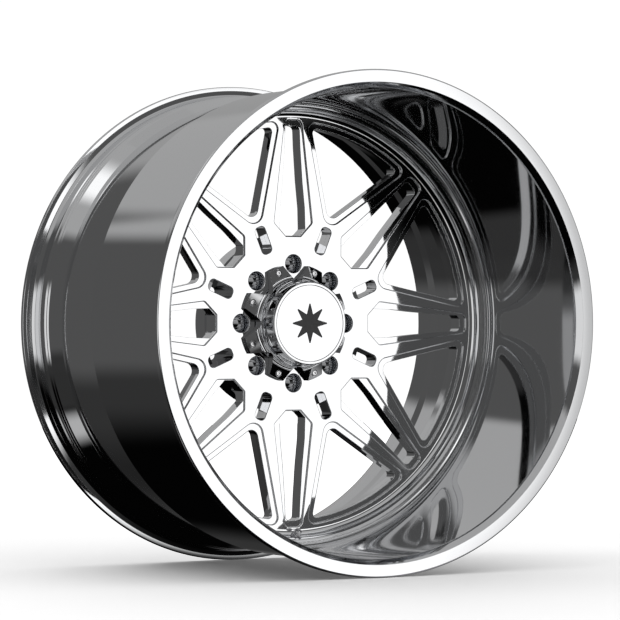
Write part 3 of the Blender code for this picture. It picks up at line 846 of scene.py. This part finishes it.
def dust_cap():
    """The dust cap: a knurled skirt under a plain domed top, hollow over the stem."""
    low = 6.8
    ceiling = STEM_END + GAP + 0.8 + GAP
    outer = STEM_R + GAP + 0.9
    knurls, per_knurl = 30, 4
    count = knurls * per_knurl

    def ring(radius, h, bite=0.0):
        radii = [radius - (bite if i % per_knurl == 0 else 0.0) for i in range(count)]
        return [(*polar(r, math.tau * i / count), h) for i, r in enumerate(radii)]

    inner = STEM_R + GAP
    rows = [ring(inner, ceiling), ring(inner, low + 0.3), ring(inner + 0.2, low), ring(outer - 0.3, low)]
    rows += [ring(outer - 0.2, low + 0.15), ring(outer, low + 0.5, 0.22), ring(outer, ceiling - 0.7, 0.22)]
    rows += [ring(outer - 0.2, ceiling - 0.35), ring(outer - 0.1, ceiling)]
    for a in steps(0.15, math.pi / 2, 8):
        rows.append(ring((outer - 0.1) * math.cos(a), ceiling + 1.1 * math.sin(a)))
    body = Body(VALVE)
    body.skin(rows)
    body.flat(ceiling, [rows[0]])
    return body.piece("valve_cap_fine", VALVE_METAL, "valve_metal", "valve_cap", body="cap_turn")


def finish_small_parts():
    """Pieces whose CAD shape is right get a fine material of their own."""
    finishes = {
        "cap_o_ring": RUBBER, "badge_adhesive_pad": FOAM,
        "valve_grommet": RUBBER, "valve_washer": VALVE_METAL,
        "valve_core": BRASS, "valve_pin": BRASS, "valve_cap_seal": RUBBER,
    }
    for node, material in finishes.items():
        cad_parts[node].data.materials.clear()
        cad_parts[node].data.materials.append(material)


# --- studio -----------------------------------------------------------------------------------------------

def panel(nodes, azimuth, elevation, left, right, bottom, top, soft):
    """1 inside a soft-edged panel of the surroundings, 0 outside it; all in degrees."""
    sides = [
        nodes.between(azimuth, left - soft, left + soft, smooth=True),
        nodes.between(azimuth, right - soft, right + soft, 1.0, 0.0, smooth=True),
        nodes.between(elevation, bottom - soft, bottom + soft, smooth=True),
        nodes.between(elevation, top - soft, top + soft, 1.0, 0.0, smooth=True),
    ]
    value = sides[0]
    for side in sides[1:]:
        value = nodes.math("MULTIPLY", value, side)
    return value


# The surroundings, in degrees: azimuth from the street side towards +X, elevation from the horizon up.
SHADES = [  # elevations between which the brightness rises, and what it rises from and to; they add up
    (-25.0, -17.0, 0.001, 0.035),
    (-13.0, -8.0, 0.0, 0.055),
    (29.0, 34.0, 0.0, 0.33),
]
PANELS = [  # left, right, bottom, top, softness, brightness; a later panel covers an earlier one
    (60.0, 140.0, -60.0, -8.0, 8.0, 0.35),
    (130.0, 175.0, -4.0, 30.0, 4.0, 0.34),
    (-163.5, -155.6, 18.5, 88.0, 1.6, 0.40),
    (-190.0, -155.6, 22.5, 88.0, 1.6, 0.40),
    (160.0, 190.0, 22.5, 88.0, 1.6, 0.40),
    (-145.0, -110.0, 45.0, 55.0, 3.0, 1.2),
    (-145.0, -100.0, -42.0, -33.0, 3.0, 0.5),
    (-158.0, -100.0, -31.0, -17.0, 2.0, 0.032),
    (-95.0, -45.0, -13.0, 13.0, 3.0, 0.8),
    (3.0, 58.0, -13.0, 16.0, 2.5, 0.6),
    (3.0, 33.8, -13.0, 16.0, 2.2, 1.3),
]
BACKDROP = 1.05  # what the camera sees behind the wheel
BOUNCES = 16  # with fewer, the deep lug holes stay black


def studio():
    """A studio that is grey above and dark below, with soft panels of light, and a white backdrop."""
    world = bpy.data.worlds.new("studio")
    bpy.context.scene.world = world
    world.use_nodes = True
    tree = world.node_tree
    nodes = Nodes(tree)
    background = tree.nodes["Background"]
    direction = nodes.add("ShaderNodeTexCoord").outputs["Generated"]
    x, y, z = nodes.add("ShaderNodeSeparateXYZ", Vector=direction).outputs
    degree = math.degrees(1)
    azimuth = nodes.math("MULTIPLY", nodes.math("ARCTAN2", x, nodes.math("MULTIPLY", y, -1.0)), degree)
    elevation = nodes.math("MULTIPLY", nodes.math("ARCSINE", z), degree)
    level = nodes.between(elevation, *SHADES[0], smooth=True)
    for shade in SHADES[1:]:
        level = nodes.math("ADD", level, nodes.between(elevation, *shade, smooth=True))
    for left, right, bottom, top, soft, brightness in PANELS:
        inside = panel(nodes, azimuth, elevation, left, right, bottom, top, soft)
        change = nodes.math("MULTIPLY", inside, nodes.math("SUBTRACT", brightness, level))
        level = nodes.math("ADD", level, change)
    camera_ray = nodes.add("ShaderNodeLightPath").outputs["Is Camera Ray"]
    level = nodes.math("MAXIMUM", level, nodes.math("MULTIPLY", camera_ray, BACKDROP))
    nodes.feed(background.inputs["Strength"], level)
    background.inputs["Color"].default_value = (1.0, 1.0, 1.0, 1.0)


def floor():
    mesh = bpy.data.meshes.new("floor")
    half, z = 6.0, rim_low.z * MM
    corners = [(-half, -half, z), (half, -half, z), (half, half, z), (-half, half, z)]
    mesh.from_pydata(corners, [], [(0, 1, 2, 3)])
    obj = bpy.data.objects.new("floor", mesh)
    bpy.context.scene.collection.objects.link(obj)
    mat, shader, nodes = new_material("floor_paint", (0.9, 0.9, 0.9), 0.0)
    speck = noise(nodes, place_of(nodes), 300.0, 3.0)
    nodes.feed(shader.inputs["Roughness"], nodes.between(speck, 0.3, 0.7, 0.7, 0.85))
    mesh.materials.append(mat)
    obj.is_shadow_catcher = True
    obj.visible_glossy = False


def camera():
    """A long lens at hub height, 30 degrees round towards the barrel's side."""
    data = bpy.data.cameras.new("camera")
    data.lens = 198.57
    data.sensor_width = 36.0
    data.shift_x = 0.0058
    data.shift_y = 0.0215
    data.clip_end = 50.0
    obj = bpy.data.objects.new("camera", data)
    bpy.context.scene.collection.objects.link(obj)
    obj.location = (-2.4101, -4.3058, 0.0)
    aim = Vector((0.0, -0.101, 0.0))
    obj.rotation_euler = (aim - obj.location).to_track_quat("-Z", "Y").to_euler()
    bpy.context.scene.camera = obj


rim_barrel()
weld_bead()
wheel_centre()
cap_body()
cap_badge()
for number in range(1, SPOKES + 1):
    cap_screw(number)
valve_stem()
valve_nut()
dust_cap()
finish_small_parts()
studio()
floor()
camera()
bpy.context.scene.view_settings.view_transform = "Standard"
bpy.context.scene.cycles.max_bounces = BOUNCES
bpy.context.scene.cycles.glossy_bounces = BOUNCES
